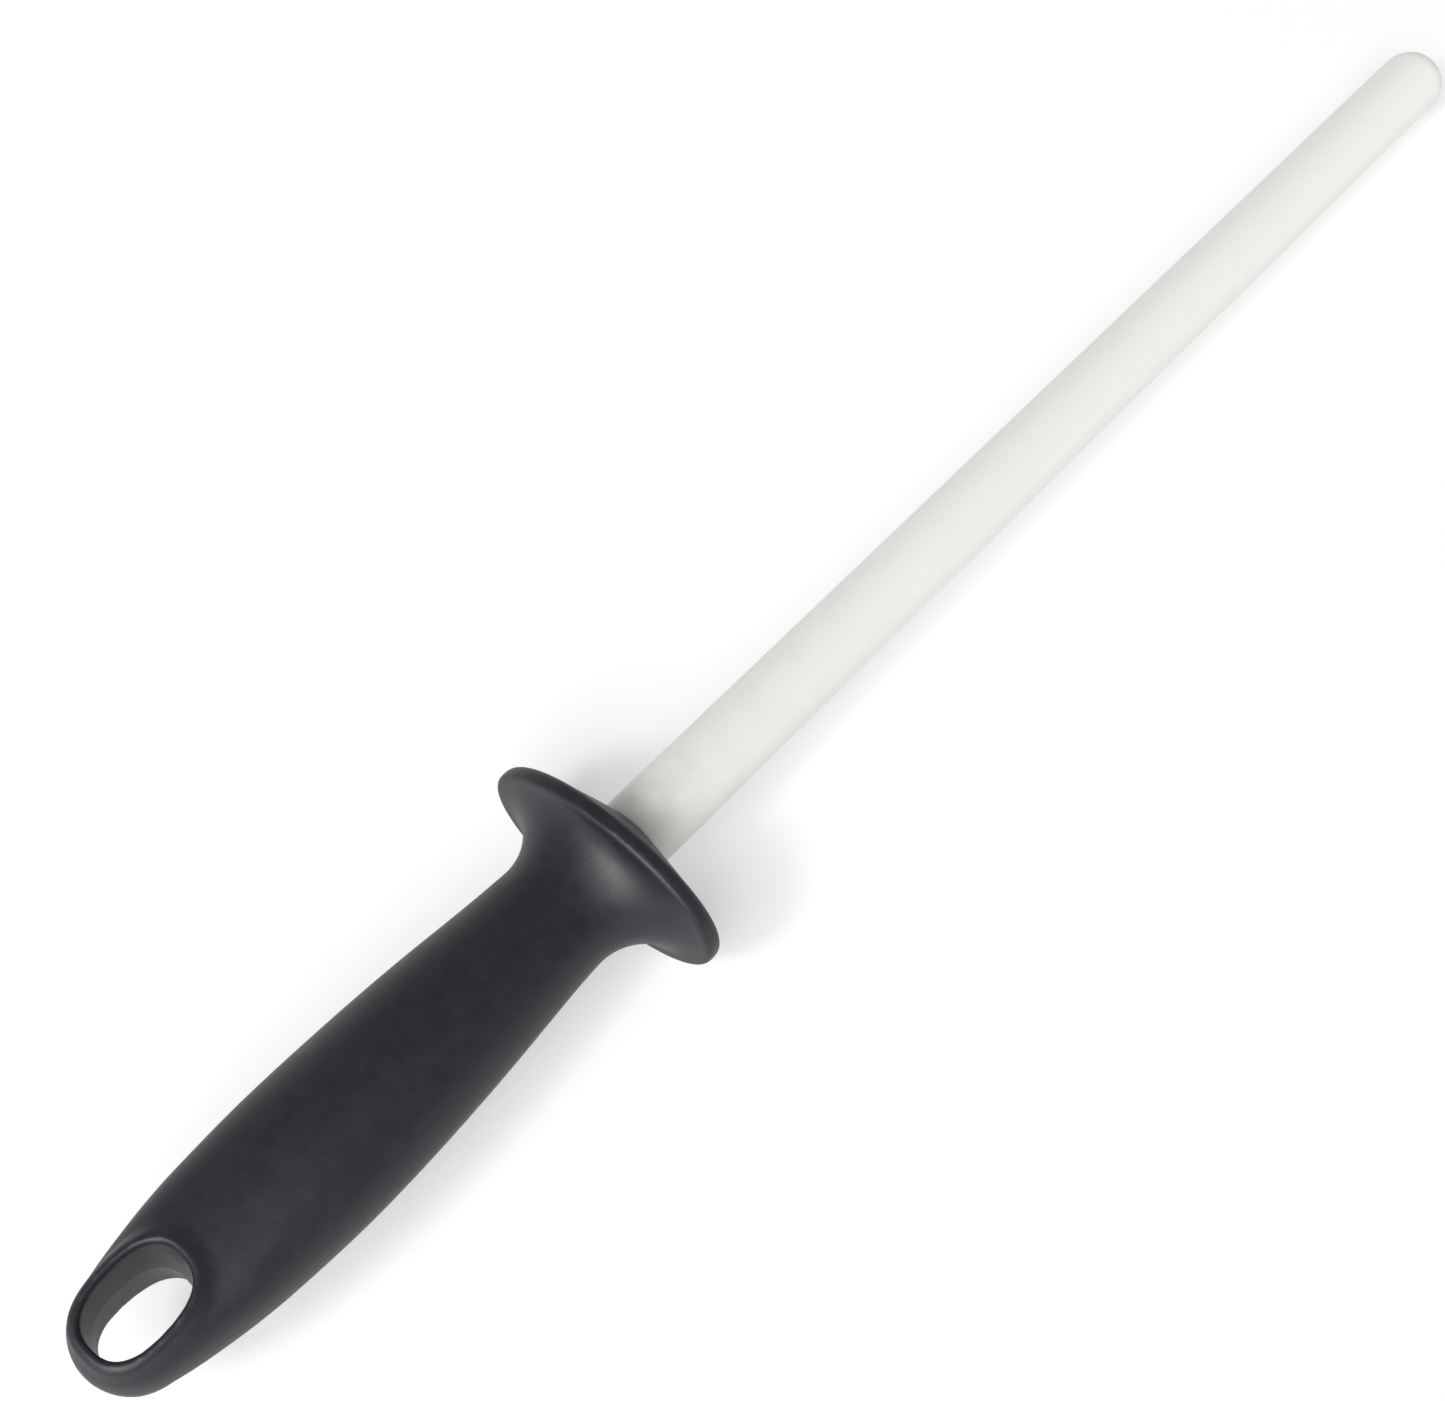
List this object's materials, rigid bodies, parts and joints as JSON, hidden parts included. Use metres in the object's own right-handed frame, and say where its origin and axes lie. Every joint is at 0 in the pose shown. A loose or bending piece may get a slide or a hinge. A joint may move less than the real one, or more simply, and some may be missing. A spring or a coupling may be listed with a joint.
{
  "type": "ceramic honing rod",
  "caption": "Round ceramic honing rod with a domed tip, fixed in a moulded oval handle with a flared guard and a hanging hole.",
  "frame": {"origin": "on the rod's axis, where the rod leaves the front of the guard", "axes": "+X along the rod towards its tip, +Y across the width of the handle and guard, +Z square to the handle's broad face, along the hanging hole"},
  "size_m": [0.3287, 0.0422, 0.0274],
  "materials": {
    "alumina": "fired alumina, off-white, finely ground matte surface",
    "handle_plastic": "moulded black polypropylene, fine matte texture with a soft sheen",
    "epoxy": "cured epoxy adhesive, hidden in the socket"
  },
  "bodies": {
    "root": {"ceramic_rod": "alumina", "handle": "handle_plastic", "epoxy_bond": "epoxy"}
  },
  "joints": []
}
